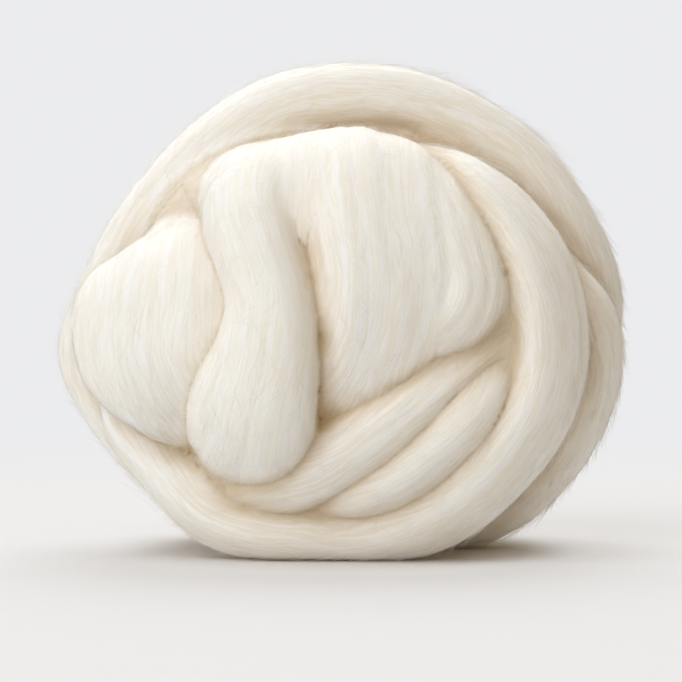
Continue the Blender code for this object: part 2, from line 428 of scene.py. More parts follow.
# %% [markdown]
# ## One skin for the whole ball
#
# Sixteen tubes that cross each other would show a hard line at every crossing, and the light that
# wool lets in would stop there. So the tubes and the packed middle of the ball go through a voxel
# remesh: it asks of each small cube of space whether it is inside, and wraps the result in one even
# net of quads. A hollow that stays between the strands gets a closed skin of its own, deep inside.
# Those small pieces are taken out, and one shell is left.

# %% Joining
VOXEL = 1.04  # millimetres across each small cube
SAME_PLACE = 0.002  # points of a strand's tip that lie this close become one, in millimetres


def quads(rows, cols):
    """Corner numbers of the faces between neighbouring rows, closed round the columns."""
    r, c = np.meshgrid(np.arange(rows - 1), np.arange(cols), indexing="ij")
    after = (c + 1) % cols
    found = np.stack((r * cols + c, (r + 1) * cols + c, (r + 1) * cols + after, r * cols + after), -1)
    return found.reshape(-1, 4)


def packed_middle():
    """A ball, fuller than an ellipsoid, that fills the space under the strands."""
    bm = bmesh.new()
    bmesh.ops.create_icosphere(bm, subdivisions=4, radius=1)
    points = np.array([vert.co for vert in bm.verts])
    points *= ((np.abs(points) ** CORE_FULLNESS).sum(1, keepdims=True)) ** (-1 / CORE_FULLNESS)
    points = points * (CORE_RADII + PUFF) + CENTRE
    faces = [[vert.index for vert in face.verts] for face in bm.faces]
    bm.free()
    return points, faces


def crossing_tubes():
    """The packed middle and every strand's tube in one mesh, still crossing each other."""
    middle, faces = packed_middle()
    points, start = [middle], len(middle)
    for skin in skins.values():
        faces += (quads(len(skin.points), COLUMNS) + start).tolist()
        points.append(skin.points.reshape(-1, 3))
        start += len(points[-1])
    mesh = bpy.data.meshes.new("crossing tubes")
    mesh.from_pydata((np.vstack(points) * MM).tolist(), [], faces)
    bm = bmesh.new()
    bm.from_mesh(mesh)
    bmesh.ops.remove_doubles(bm, verts=bm.verts, dist=SAME_PLACE * MM)
    bmesh.ops.recalc_face_normals(bm, faces=bm.faces)
    bm.to_mesh(mesh)
    bm.free()
    return mesh


def remeshed(mesh, voxel):
    """One even net of quads round everything that is inside the mesh."""
    holder = bpy.data.objects.new("holder", mesh)
    bpy.context.scene.collection.objects.link(holder)
    modifier = holder.modifiers.new("one skin", "REMESH")
    modifier.mode = "VOXEL"
    modifier.voxel_size = voxel
    graph = bpy.context.evaluated_depsgraph_get()
    found = bpy.data.meshes.new_from_object(holder.evaluated_get(graph))
    bpy.data.objects.remove(holder)
    return found


def outer_skin(mesh):
    """The mesh without the closed pieces that wrap a hollow deep inside the ball."""
    bm = bmesh.new()
    bm.from_mesh(mesh)
    found, seen = [], set()
    for start in bm.verts:
        if start in seen:
            continue
        seen.add(start)
        piece = [start]
        for vert in piece:  # the piece grows as it is walked, until it has no new neighbour
            fresh = [edge.other_vert(vert) for edge in vert.link_edges]
            fresh = [other for other in fresh if other not in seen]
            seen.update(fresh)
            piece.extend(fresh)
        found.append(piece)
    found.sort(key=len)
    print("hollows taken out:", [len(piece) for piece in found[:-1]])
    bmesh.ops.delete(bm, geom=[vert for piece in found[:-1] for vert in piece], context="VERTS")
    bm.to_mesh(mesh)
    bm.free()
    return mesh


one_mesh = outer_skin(remeshed(crossing_tubes(), VOXEL * MM))
print("one skin of", len(one_mesh.polygons), "quads,", len(one_mesh.vertices), "points")

# %% [markdown]
# ## Soft creases
#
# The net is stepped where two tubes crossed. A blur would soften it, but it would also shrink the
# strands. So each point moves towards the mean of its neighbours only along its own normal: the
# whole way where it lies in a hollow, and a part of the way where it lies on a back. After a few
# such steps the creases are as soft as two strands of wool that lean on each other. All of this is
# quick, because the points are kept as one array and the net as lists of neighbours.

# %% The net as arrays
FILLING_STEPS = 9
WEAR = 0.25  # how much of its way a point on a back goes


def read(items, name, each, kind):
    """The values of this name, as many for each item as it says."""
    values = np.empty(len(items) * each, kind)
    items.foreach_get(name, values)
    return values


puffed = read(one_mesh.vertices, "co", 3, np.float32).reshape(-1, 3).astype(float) / MM
corners = read(one_mesh.loops, "vertex_index", 1, np.int32)
edges = read(one_mesh.edges, "vertices", 2, np.int32).reshape(-1, 2)
assert len(corners) == 4 * len(one_mesh.polygons), "every face is a quad"
faces = corners.reshape(-1, 4)

order = np.argsort(np.concatenate((edges[:, 0], edges[:, 1])), kind="stable")
neighbours = np.concatenate((edges[:, 1], edges[:, 0]))[order]
neighbour_count = np.bincount(edges.ravel(), minlength=len(puffed))
neighbour_start = np.concatenate(([0], np.cumsum(neighbour_count)[:-1]))


def blurred(values, steps=1):
    """Each value replaced by the mean of its neighbours on the net, and again for each step."""
    for _ in range(steps):
        sums = np.add.reduceat(values[neighbours], neighbour_start)
        count = neighbour_count.reshape(-1, *[1] * (values.ndim - 1))
        values = sums / count
    return values


def normals_of(places):
    """Which way is outwards at each point."""
    a, b, c, d = (places[faces[:, k]] for k in range(4))
    face_normal = np.cross(c - a, d - b)
    summed = [np.bincount(corners, np.repeat(face_normal[:, k], 4), len(places)) for k in range(3)]
    return unit(np.stack(summed, 1) + 1e-12)


def normals_and_depths(places):
    """Each point's normal, and how far it lies below the mean of its neighbours."""
    normal = normals_of(places)
    return normal, ((blurred(places) - places) * normal).sum(1, keepdims=True)


places = puffed - normals_of(puffed) * PUFF
for _ in range(FILLING_STEPS):
    normal, sunk = normals_and_depths(places)
    places = places + normal * np.where(sunk > 0, sunk, sunk * WEAR)
print("points moved by", round(float(np.abs(places - puffed).max()), 2), "mm at most")

# %% [markdown]
# ## Which strand each place belongs to
#
# For each point we measure how far it is from every tube near it. The nearest is the strand that
# it belongs to, and the next one tells how close it is to a crease. The net was made without
# knowing of that border and crosses it in small steps, so the points next to it are moved on to it,
# and a crease becomes a clean line. A face then belongs to the strand of most of its corners.

# %% Strands and seams
REACH = 8.0  # how far from a tube its distance is measured, in millimetres
PREFERENCE = 3  # how strongly a point prefers the nearer of two tubes, for each millimetre
LEAST_PART = 0.02  # what each end of an edge counts for at least, in millimetres
SEAM_VOTE = 0.4  # a corner on a seam has less than one vote


def tree_of(skin):
    """A search tree that finds the nearest place on a strand's tube."""
    polygons = quads(len(skin.points), COLUMNS)
    return BVHTree.FromPolygons(skin.points.reshape(-1, 3).tolist(), polygons.tolist())


def distances():
    """How far each place lies from each strand's tube, at most REACH."""
    found = np.full((len(puffed), len(STRANDS)), REACH)
    for number, skin in enumerate(skins.values()):
        tree = tree_of(skin)
        low, high = skin.points.min((0, 1)) - REACH, skin.points.max((0, 1)) + REACH
        near = np.flatnonzero(((puffed > low) & (puffed < high)).all(1))
        hits = [tree.find_nearest(place, REACH)[3] for place in puffed[near].tolist()]
        found[near, number] = [REACH if distance is None else distance for distance in hits]
    return found


def on_the_seams():
    """Each point that is the nearer end of an edge between two strands, moved on to their seam."""
    own = blurred(np.exp(-from_tubes * PREFERENCE), 2).argmax(1)
    crossing = edges[own[edges[:, 0]] != own[edges[:, 1]]]
    first, last = crossing.T
    near, far = own[first], own[last]
    before = np.maximum(from_tubes[first, far] - from_tubes[first, near], 0.0) + LEAST_PART
    after = np.maximum(from_tubes[last, near] - from_tubes[last, far], 0.0) + LEAST_PART
    share = before / (before + after)
    start = np.where(share < 0.5, first, last)
    way = places[first] + (places[last] - places[first]) * share[:, None] - places[start]
    moved, count = np.zeros_like(places), np.bincount(start, minlength=len(places))
    np.add.at(moved, start, way)
    return places + moved / np.maximum(count, 1)[:, None], own, count > 0


from_tubes = distances()
places, strand_of_point, on_seam = on_the_seams()
votes = (strand_of_point[faces][..., None] == np.arange(len(STRANDS))).astype(float)
votes = (votes * np.where(on_seam[faces], SEAM_VOTE, 1.0)[..., None]).sum(1)
strand_of_face = votes.argmax(1)
print("points on seams:", int(on_seam.sum()))

# %% [markdown]
# ## The map
#
# Each corner learns how far along and across its strand it lies. Written down as a UV map, each
# strand's part lies flat and straight on one sheet, with one unit for the whole sheet, and "along
# the strand" is simply the map's first direction. An automatic unwrap would lie every which way,
# and a pattern could not follow the wool. Where two strands meet the map jumps from one to the
# other, at the bottom of the crease.

# %% The map
SHEET = 640.0  # millimetres of strand across the whole UV map
GAP = 5.0  # between two strands on the map, in millimetres

Part = namedtuple("Part", "mine used along across")


def measured(skin, spots):
    """How far along and across a strand each of these spots lies."""
    tree = tree_of(skin)
    found = [tree.find_nearest(spot) for spot in spots.tolist()]
    where = np.array([hit[0] for hit in found])
    cell = np.array([hit[2] for hit in found])
    r, c = cell // COLUMNS, cell % COLUMNS
    corner = skin.points[r, c]
    ahead = skin.points[r + 1, c] - corner
    aside = skin.points[r, (c + 1) % COLUMNS] - corner
    share = [((where - corner) * way).sum(1) / ((way * way).sum(1) + 1e-9) for way in (ahead, aside)]
    a, b = np.clip(share, 0, 1)
    along = skin.along[r] + a * (skin.along[r + 1] - skin.along[r])
    near = skin.across[r, c] * (1 - b) + skin.across[r, c + 1] * b
    far = skin.across[r + 1, c] * (1 - b) + skin.across[r + 1, c + 1] * b
    return along, near * (1 - a) + far * a


def part_of(number, strand):
    """The faces of one strand, their points, and how far along and across those lie."""
    mine = np.flatnonzero(strand_of_face == number)
    used = np.unique(faces[mine])
    return Part(mine, used, *measured(skins[strand.name], puffed[used]))


def rolled_out(strand, part):
    """Where the corners of a strand's faces lie when its tube is cut open at the back."""
    lookup = np.zeros((len(places), 2))
    lookup[part.used, 0], lookup[part.used, 1] = part.along, part.across
    found = lookup[faces[part.mine]]
    girth = np.ptp(skins[strand.name].across, axis=1).mean()
    split = np.ptp(found[..., 1], axis=1) > girth / 2
    found[split, :, 1] += np.where(found[split, :, 1] < 0, girth, 0)
    return found - found.min(axis=(0, 1))


def shelves(sizes):
    """Where each rectangle goes on the sheet: side by side on shelves, the tallest first."""
    found, x, y, height = {}, 0.0, 0.0, 0.0
    for number in sorted(range(len(sizes)), key=lambda n: -sizes[n][1]):
        length, girth = sizes[number]
        if x + length > SHEET:
            x, y, height = 0.0, y + height + GAP, 0.0
        found[number] = (x, y)
        x += length + GAP
        height = max(height, girth)
    assert y + height < SHEET, "the map is too small"
    print("the map is used up to", round(y + height), "mm")
    return found


parts = [part_of(number, strand) for number, strand in enumerate(STRANDS)]
rolls = [rolled_out(strand, part) for strand, part in zip(STRANDS, parts)]
starts = shelves([roll.max(axis=(0, 1)) for roll in rolls])
corner_map = np.zeros((len(faces), 4, 2))
for number, (part, roll) in enumerate(zip(parts, rolls)):
    corner_map[part.mine] = roll + starts[number]

# %% [markdown]
# ## The grooves that combing leaves
#
# Combed wool is never a smooth tube. Its fibres gather in locks, and between two locks runs a
# groove that wanders along the strand, fades and starts again. Random values on a stretched grid
# do the same: long cells along the strand and narrow ones across it. Where such values pass
# through zero, a simple formula makes a narrow valley of them, and that valley is the groove.

# %% Grooves
DRIFT = 3.0  # how far a groove wanders aside, in millimetres
DRIFT_LENGTH = 60  # how long one such bend is, in millimetres
GROOVE_LENGTH = 150  # how long a groove runs before it fades, in millimetres
GROOVE_EDGE = 2.5  # a larger number makes a narrower groove
SWELL = 0.5  # how far the back of a strand rises and falls, in millimetres
SWELL_LENGTH = 80  # millimetres along the strand
SWELL_WIDTH = 10  # millimetres across it
GRID = 256  # random values each way, after which they start again
SEEDS_EACH = 10  # seeds set aside for each strand


def field(along, across, length, width, seed):
    """Smooth random values from -1 to 1 on cells of this length and width."""
    grid = np.random.default_rng(seed).uniform(-1, 1, (GRID, GRID))
    x, y = along / length, across / width
    x0, y0 = np.floor(x).astype(int), np.floor(y).astype(int)
    fx, fy = x - x0, y - y0
    fx, fy = fx * fx * (3 - 2 * fx), fy * fy * (3 - 2 * fy)
    low = grid[x0 % GRID, y0 % GRID] * (1 - fx) + grid[(x0 + 1) % GRID, y0 % GRID] * fx
    high = grid[x0 % GRID, (y0 + 1) % GRID] * (1 - fx) + grid[(x0 + 1) % GRID, (y0 + 1) % GRID] * fx
    return low * (1 - fy) + high * fy


def valleys(values):
    """From -1 in a narrow valley to nearly 0 on the broad back of a lock."""
    return -1 / (1 + (values * GROOVE_EDGE) ** 2)


def relief(strand, along, across, seed):
    """How far the skin stands above the plain section, in millimetres."""
    drift = across + DRIFT * field(along, across * 0, DRIFT_LENGTH, 1, seed + 1)
    grooves = valleys(field(along, drift, GROOVE_LENGTH, strand.comb.apart, seed + 2))
    swell = field(along, drift, SWELL_LENGTH, SWELL_WIDTH, seed + 3) * SWELL
    return grooves * strand.comb.depth + swell


def combed_rise():
    """The relief of every point, shared where it belongs to more than one strand."""
    rise, shares = np.zeros(len(places)), np.zeros(len(places))
    for number, (strand, part) in enumerate(zip(STRANDS, parts)):
        rise[part.used] += relief(strand, part.along, part.across, number * SEEDS_EACH)
        shares[part.used] += 1
    return blurred(rise / np.maximum(shares, 1))


combed_out = combed_rise()
print("grooves and swells, mm:", round(combed_out.min(), 2), "to", round(combed_out.max(), 2))

# %% [markdown]
# ## Creases between the strands
#
# Where two strands meet, both turn in to a crease. It is deepest on their border and fades with
# the distance to the other strand, and the table says how deep it is. Strands that make one broad
# fold have no crease between them: there the net is smoothed instead, before anything is pressed
# in. A net as coarse as this one leaves steps and pits in a narrow crease, so the line of each
# crease is smoothed along its length and the pits are filled. Last, the ball's own weight presses
# it flat where it rests, with a soft turn all round.

# %% Creases
CREASE_WIDTH = 1.8  # millimetres from a crease to where it is about a third as deep
DEEPEST = 1.2  # no place beside a seam is pressed in further than this, in millimetres
SEAM_FACTOR = 1.4  # a point on a seam is pressed in this many times as far
FOLD_STEPS = 18  # how often the inside of a broad fold is smoothed
EVEN_STEPS = 4  # how often normals and shares are evened out over the net
SEAM_STEPS = 4  # how often the line of a crease is smoothed
PIT_STEPS = 3  # how often a pit is filled
PIT_DEPTH = 0.38  # a point that lies deeper below its neighbours than this is in a pit
PRESSED = 1.3  # how softly the skin turns on to the floor, in millimetres


def creases():
    """How deep the crease between two strands is at each place, in millimetres."""
    edges_of = np.array([strand.edge for strand in STRANDS])
    between = np.minimum.outer(edges_of, edges_of)
    for (one, other), edge in {**LEANING, **dict.fromkeys(ONE_FOLD, 0)}.items():
        one, other = NUMBER[one], NUMBER[other]
        between[one, other] = between[other, one] = edge
    rows = np.arange(len(places))
    own = strand_of_point
    beyond = np.maximum(from_tubes - from_tubes[rows, own][:, None], 0)
    depth = between[own]
    depth[rows, own] = 0
    wide = np.where(beyond < REACH - 1, depth * np.exp(-beyond / CREASE_WIDTH), 0).sum(1)
    return np.where(on_seam, SEAM_FACTOR, 1.0) * np.minimum(wide, DEEPEST)


def folds_smoothed(places):
    """The skin with no border inside a broad fold that two strands make together."""
    nearest = from_tubes.min(1)
    share = np.zeros(len(places))
    for (one, other), width in ONE_FOLD.items():
        off = np.maximum(from_tubes[:, NUMBER[one]], from_tubes[:, NUMBER[other]]) - nearest
        share = np.maximum(share, np.exp(-(off / width) ** 2))
    share = blurred(share, EVEN_STEPS)[:, None]
    for _ in range(FOLD_STEPS):
        places = places + (blurred(places) - places) * share
    return places


def seams_smoothed(places):
    """Each point of a seam drawn half-way to the middle of its neighbours on it, step by step."""
    first, last = edges[on_seam[edges].all(1)].T
    count = np.bincount(np.append(first, last), minlength=len(places))
    for _ in range(SEAM_STEPS):
        summed = np.zeros_like(places)
        np.add.at(summed, first, places[last])
        np.add.at(summed, last, places[first])
        middle = summed / np.maximum(count, 1)[:, None]
        places = np.where((count > 1)[:, None], (places + middle) / 2, places)
    return places


def pits_filled(places):
    """The skin with what lies deeper than PIT_DEPTH below its neighbours raised to that depth."""
    for _ in range(PIT_STEPS):
        normal, sunk = normals_and_depths(places)
        places = places + normal * np.maximum(sunk - PIT_DEPTH, 0)
    return places


def rested(places):
    """The skin pressed flat on the floor, with a soft turn all round."""
    x, y, z = places.T
    return np.stack((x, y, (z + np.hypot(z, PRESSED)) / 2), 1)


crease = creases()
rise = combed_out - crease
places = folds_smoothed(places)
places = places + unit(blurred(normals_of(places), EVEN_STEPS)) * rise[:, None]
places = rested(pits_filled(seams_smoothed(places)))
print("relief, mm:", round(rise.min(), 2), "to", round(rise.max(), 2))

# %% [markdown]
# ## How open each place is
#
# Fibres are only worth making where they can be seen, and a crease keeps the light in it, which
# makes it warmer, so the finish paints a darker, warmer shade into the colour where the wool is
# shut in. Both need to know how open a place is. From each point of the skin we send a few short
# rays away from the surface, and count how many leave without meeting wool. One that meets the
# floor counts for a little over half, so places low on the ball get some of the painted shade too.
# The bottom of a crease is narrower than the net can show, so it counts as more shut in than its
# rays say, and is painted darker.

# %% Openness
RAYS = 14  # from each point
RAY_LENGTH = 26.0  # millimetres
RAY_START = 0.4  # how far above the skin a ray starts, in millimetres
LOWEST_RAY = 0.9  # 1 would send the lowest ray along the surface
GOLDEN_ANGLE = 2.39996  # turning by this each time spreads the rays evenly
FLOOR_SHARE = 0.6  # what a ray that meets the floor counts for
SHUT_IN = 0.6  # the share that a crease of a millimetre or more takes off


def spread_rays(count):
    """Directions over the upper half of a ball, evenly spread."""
    k = np.arange(count) + 0.5
    up = 1 - k / count * LOWEST_RAY
    turn = k * GOLDEN_ANGLE
    flat = np.sqrt(1 - up**2)
    return np.stack((flat * np.cos(turn), flat * np.sin(turn), up), 1)


def openness(places, rays):
    """The share of the rays that leave each place without meeting wool."""
    tree = BVHTree.FromPolygons(places.tolist(), faces.tolist())
    normal = normals_of(places)
    helper = np.where(np.abs(normal[:, :1]) < 0.8, [1.0, 0, 0], [0, 1.0, 0])
    side = unit(np.cross(normal, helper))
    other = np.cross(normal, side)
    starts = (places + normal * RAY_START).tolist()
    found = np.zeros(len(places))
    for ray in rays:
        directions = (side * ray[0] + other * ray[1] + normal * ray[2]).tolist()
        hits = [tree.ray_cast(start, way, RAY_LENGTH)[3] for start, way in zip(starts, directions)]
        low = [start[2] + way[2] * RAY_LENGTH < 0 for start, way in zip(starts, directions)]
        leaves = np.array([distance is None for distance in hits])
        found += leaves * np.where(low, FLOOR_SHARE, 1.0)
    return blurred(found / len(rays))


open_at = openness(places, spread_rays(RAYS)) * (1 - SHUT_IN * np.clip(crease, 0, 1))
print("share of the skin that is open:", round(float(np.mean(open_at > 0.3)), 2))

# %% [markdown]
# ## The finished skin
#
# The net now takes its new places and its map, and is shaded smooth. Two numbers go with every
# point, for the finish and the fibres to read: how open it is, and how deep the comb went in its
# strand. That second one is blurred a little, so that it doesn't jump from strand to strand.

# %% The wool's skin
COMBED_STEPS = 3  # how often the comb's depth is blurred

one_mesh.name = "wool_skin"
one_mesh.vertices.foreach_set("co", (places * MM).astype(np.float32).ravel())
layer = one_mesh.uv_layers.new(name="OFBake")
layer.uv.foreach_set("vector", (corner_map / SHEET).astype(np.float32).ravel())
comb_depths = np.array([strand.comb.depth for strand in STRANDS])
combed = blurred(comb_depths[strand_of_point], COMBED_STEPS)
for name, values in (("open", open_at), ("combed", combed)):
    attribute = one_mesh.attributes.new(name, "FLOAT", "POINT")
    attribute.data.foreach_set("value", values.astype(np.float32))
one_mesh.shade_smooth()
one_mesh.update()
wool_skin = bpy.data.objects.new("wool_skin", one_mesh)
bpy.context.scene.collection.objects.link(wool_skin)
print("wool_skin has", 2 * len(faces), "triangles")

# %% [markdown]
# ## Writing node trees as Python
#
# A material and a Geometry Nodes tree are both graphs. Building them node by node fills pages, so
# two small classes do it: Graph adds a node from its type, settings and inputs, and Value wraps a
# socket so that adding or multiplying two of them adds the Math node.

# %% Graph and Value
class Value:
    """A socket of numbers that can be used in an expression."""

    def __init__(self, graph, socket):
        self.graph, self.socket = graph, socket

    def __add__(self, other):
        return self.graph.math("ADD", self, other)

    def __sub__(self, other):
        return self.graph.math("SUBTRACT", self, other)

    def __mul__(self, other):
        return self.graph.math("MULTIPLY", self, other)

    def __truediv__(self, other):
        return self.graph.math("DIVIDE", self, other)

    def __pow__(self, other):
        return self.graph.math("POWER", self, other)

    def __rsub__(self, other):
        return self.graph.math("SUBTRACT", other, self)

    def __rtruediv__(self, other):
        return self.graph.math("DIVIDE", other, self)

    __radd__, __rmul__ = __add__, __mul__


class Graph:
    """A node tree that grows from expressions."""

    def __init__(self, tree):
        self.tree = tree

    def plug(self, socket, value):
        if isinstance(value, Value):
            self.tree.links.new(value.socket, socket)
        else:
            socket.default_value = value

    def node(self, kind, settings=(), inputs=()):
        node = self.tree.nodes.new(kind)
        for name, value in dict(settings).items():
            setattr(node, name, value)
        for key, value in dict(inputs).items():
            named = [s for s in node.inputs if s.name == key and s.enabled]
            self.plug(node.inputs[key] if isinstance(key, int) else named[0], value)
        return node

    def value(self, kind, settings=(), inputs=(), output=None):
        node = self.node(kind, settings, inputs)
        shown = [s for s in node.outputs if s.enabled and output in (None, s.name)]
        return Value(self, shown[0])

    def math(self, operation, *numbers):
        return self.value("ShaderNodeMath", {"operation": operation}, dict(enumerate(numbers)))

    def vector(self, operation, *vectors, output="Vector"):
        settings = {"operation": operation}
        return self.value("ShaderNodeVectorMath", settings, dict(enumerate(vectors)), output)

    def scaled(self, vector, number):
        inputs = {"Vector": vector, "Scale": number}
        return self.value("ShaderNodeVectorMath", {"operation": "SCALE"}, inputs)

    def colour(self, low, high, factor):
        inputs = {"Factor": factor, "A": low, "B": high}
        return self.value("ShaderNodeMix", {"data_type": "RGBA"}, inputs)

    def parts(self, vector):
        node = self.node("ShaderNodeSeparateXYZ", (), {"Vector": vector})
        return [Value(self, socket) for socket in node.outputs]

    def xyz(self, x=0.0, y=0.0, z=0.0):
        return self.value("ShaderNodeCombineXYZ", (), {"X": x, "Y": y, "Z": z})

    def attribute(self, name):
        return self.value("ShaderNodeAttribute", {"attribute_name": name}, (), "Fac")


print("graph operations:", [name for name in dir(Graph) if not name.startswith("_")])

# %% [markdown]
# ## What all wool shares
#
# Undyed wool is a warm ivory. It never shines as silk does: the scales on each fibre scatter the
# light, so the surface is rough, with a soft sheen where it turns away, and in the strand some
# light goes in and comes out again nearby, which is what subsurface scattering does. In a crease
# the light bounces from wool to wool and comes out warmer each time. On top of what the renderer
# already does, the colour gets a painted shade: a darker, warmer tan where the wool is shut in.

# %% Rough, soft, and painted warm shade in the creases
# The painted crease shade: the dark tan that shut-in wool is mixed towards, and how fast that painted
# shade fades as a place opens.
PAINTED_CREASE_SHADE = (0.500, 0.330, 0.110, 1.0)
PAINTED_SHADE_FALL = 1.9  # a larger number keeps the warmth deeper in the crease
WOOL = {
    "Roughness": 0.95,
    "Specular IOR Level": 0.05,
    "Sheen Weight": 0.2,
    "Sheen Roughness": 0.6,
    "Sheen Tint": (1.0, 0.94, 0.82, 1.0),
    "Subsurface Radius": (1.0, 1.0, 1.0),
    "Subsurface Scale": 0.8 * MM,
}


def shader_of(material):
    material.use_nodes = True
    return material.node_tree.nodes["Principled BSDF"]


def rough_and_soft(shader, light_let_in):
    for name, value in WOOL.items():
        shader.inputs[name].default_value = value
    shader.inputs["Subsurface Weight"].default_value = light_let_in


def with_painted_crease_shade(g, colour):
    """The colour with painted shade in it, darker and warmer where the wool is shut in."""
    return g.colour(colour, PAINTED_CREASE_SHADE, (1 - g.attribute("open")) ** PAINTED_SHADE_FALL)


print("settings that all wool shares:", len(WOOL))

# %% [markdown]
# ## The combed strand
#
# Seen close up the strand is streaked, because each lock lies at its own angle and catches its own
# share of light. Painted streaks would stop at every seam, and real hairs for all of them would be
# far too many. So noise is stretched along the map's first direction, in three widths: locks,
# threads and single hairs. Two broader noises, bend and curl, carry them aside, so that no streak
# runs straight. Where the comb went deeper, the streaks are stronger.

# %% The strand's finish
Streak = namedtuple("Streak", "length width detail")

BEND = Streak(24, 7, 1.0)  # millimetres, and how finely the noise is broken up
BEND_ASIDE = 5.0  # how far it carries the others aside, in millimetres
CURL = Streak(7, 2, 1.0)
CURL_ASIDE = 1.2
LOCKS = Streak(45, 2.4, 1.0)
THREADS = Streak(16, 0.8, 1.0)
HAIRS = Streak(7, 0.28, 2.0)

IVORY = (0.890, 0.845, 0.750, 1.0)
PALE = (0.970, 0.947, 0.905, 1.0)
LOCK_SHARE = 0.6  # the locks show this much as strongly as the finer streaks
AVERAGE = 1.3  # what the three streaks add up to on average
CONTRAST = 0.8
COMB_CONTRAST = 2.6  # what a comb groove one millimetre deep adds to it
HAIR_SHARE = 0.6  # the hairs stand this much as high as the threads
LEAST_HEIGHT = 0.2  # what the streaks keep of their height in wool that is hardly combed


def combed_wool():
    """Streaked ivory wool with painted crease shade, and a little height in the finer streaks."""
    material = bpy.data.materials.new("combed ivory wool")
    shader = shader_of(material)
    g = Graph(material.node_tree)
    along, across, _ = g.parts(g.value("ShaderNodeUVMap", {"uv_map": "OFBake"}))
    along, across = along * SHEET, across * SHEET

    def streaks(streak, aside):
        place = g.xyz(along / streak.length, aside / streak.width)
        inputs = {"Vector": place, "Scale": 1.0, "Detail": streak.detail, "Roughness": 0.6}
        return g.value("ShaderNodeTexNoise", (), inputs, "Fac")

    wander = across + streaks(BEND, across) * BEND_ASIDE
    wander = wander + streaks(CURL, wander) * CURL_ASIDE
    locks, threads, hairs = (streaks(streak, wander) for streak in (LOCKS, THREADS, HAIRS))
    comb = g.attribute("combed")
    light = locks * LOCK_SHARE + threads + hairs - AVERAGE
    light = light * (CONTRAST + COMB_CONTRAST * comb) + 0.5
    light = g.math("MINIMUM", g.math("MAXIMUM", light, 0.0), 1.0)
    height = (hairs * HAIR_SHARE + threads) * (LEAST_HEIGHT + comb)
    inputs = {"Strength": 0.2, "Distance": 0.12 * MM, "Height": height}
    bump = g.value("ShaderNodeBump", (), inputs, "Normal")
    # The base colour is the streaks with the painted crease shade mixed in.
    g.plug(shader.inputs["Base Color"], with_painted_crease_shade(g, g.colour(IVORY, PALE, light)))
    g.plug(shader.inputs["Normal"], bump)
    rough_and_soft(shader, 1.0)
    return material


wool_skin.data.materials.append(combed_wool())
print("materials:", [material.name for material in bpy.data.materials])

# %% [markdown]
# ## Loose fibres
#
# A wool fibre is 6 to 12 cm long and finer than a hair. Most lie flat in the strand and are in its
# colour already. What softens the outline are the ends that have come loose. One Geometry Nodes
# tree makes all of these. It scatters roots where the skin is open, lays a line of points from each
# root along the map, asks the skin where those points of the map are in space (Sample UV Surface),
# and lifts them along the skin's normal. One end dives under the skin and the other rises off it,
# so a fibre seems to come out of the strand. A small three-sided tube then follows it.
#
# The tree is one long graph, so it is written here as short functions, one for each stage.

# %% Helpers and inputs of the fibre tree
INPUTS = (
    ("Per square metre", "NodeSocketFloat", 0.0),
    ("Length", "NodeSocketFloat", 0.03),
    ("Thickness", "NodeSocketFloat", 0.0002),
    ("Lift", "NodeSocketFloat", 0.0001),
    ("Free end", "NodeSocketFloat", 0.0),
    ("Stray", "NodeSocketFloat", 0.05),
    ("Wave", "NodeSocketFloat", 0.0004),
    ("Least open", "NodeSocketFloat", 0.2),
    ("Flatness", "NodeSocketFloat", 0.95),
    ("Points", "NodeSocketInt", 10),
    ("Seed", "NodeSocketInt", 1),
    ("Finish", "NodeSocketMaterial", None),
)


class FibreGraph(Graph):
    """A Geometry Nodes tree, with its named attributes read and stored in one line each."""

    def named(self, name, kind="FLOAT"):
        settings = {"data_type": kind}
        return self.value("GeometryNodeInputNamedAttribute", settings, {"Name": name}, "Attribute")

    def store(self, geometry, name, value, kind="FLOAT", domain="POINT"):
        settings = {"data_type": kind, "domain": domain}
        inputs = {"Geometry": geometry, "Name": name, "Value": value}
        return self.value("GeometryNodeStoreNamedAttribute", settings, inputs)


print("inputs of the fibre tree:", [name for name, _, _ in INPUTS])

# %% Roots, and a line of points from each
CHANCES = ("pale", "reach", "slant", "phase", "height")


def roots_on(g, given):
    """A point for each fibre where the skin is open, with the random numbers that it needs."""
    shows = g.math("GREATER_THAN", g.named("open"), given["Least open"])
    inputs = {
        "Mesh": given["Skin"],
        "Density": given["Per square metre"] * shows,
        "Seed": given["Seed"],
    }
    roots = g.value("GeometryNodeDistributePointsOnFaces", (), inputs)
    roots = g.store(roots, "root", g.named("OFBake", "FLOAT_VECTOR"), "FLOAT_VECTOR")
    roots = g.store(roots, "number", g.value("GeometryNodeInputIndex"))
    for step, name in enumerate(CHANCES, 1):
        seed = {"Seed": given["Seed"] * 7 + step}
        chance = g.value("FunctionNodeRandomValue", {"data_type": "FLOAT"}, seed)
        roots = g.store(roots, name, chance)
    return roots


def lines_from(g, given, roots):
    """A line of points at each root, with how far along it each point is, from 0 to 1."""
    line = g.value("GeometryNodeCurvePrimitiveLine", (), {"End": (1.0, 0.0, 0.0)})
    line = g.value("GeometryNodeResampleCurve", (), {"Curve": line, "Count": given["Points"]})
    laid = g.value("GeometryNodeInstanceOnPoints", (), {"Points": roots, "Instance": line})
    laid = g.value("GeometryNodeRealizeInstances", (), {"Geometry": laid})
    return g.store(laid, "way", g.value("GeometryNodeSplineParameter", (), (), "Factor"))


print("random numbers of each fibre:", CHANCES)

# %% Laying the lines on the skin
SHORTEST = 0.45  # of the length that the tree is given
LONGER = 0.9  # what chance adds to that
BENDS = 7.0  # how far the wave turns along a fibre, in radians
FULL_TURN = 6.283
DIVE = 1.5  # at 1 both ends would lie on the skin, and more takes them under it
LEAST_RISE = 0.15  # what a free end rises at least, of the height that the tree is given


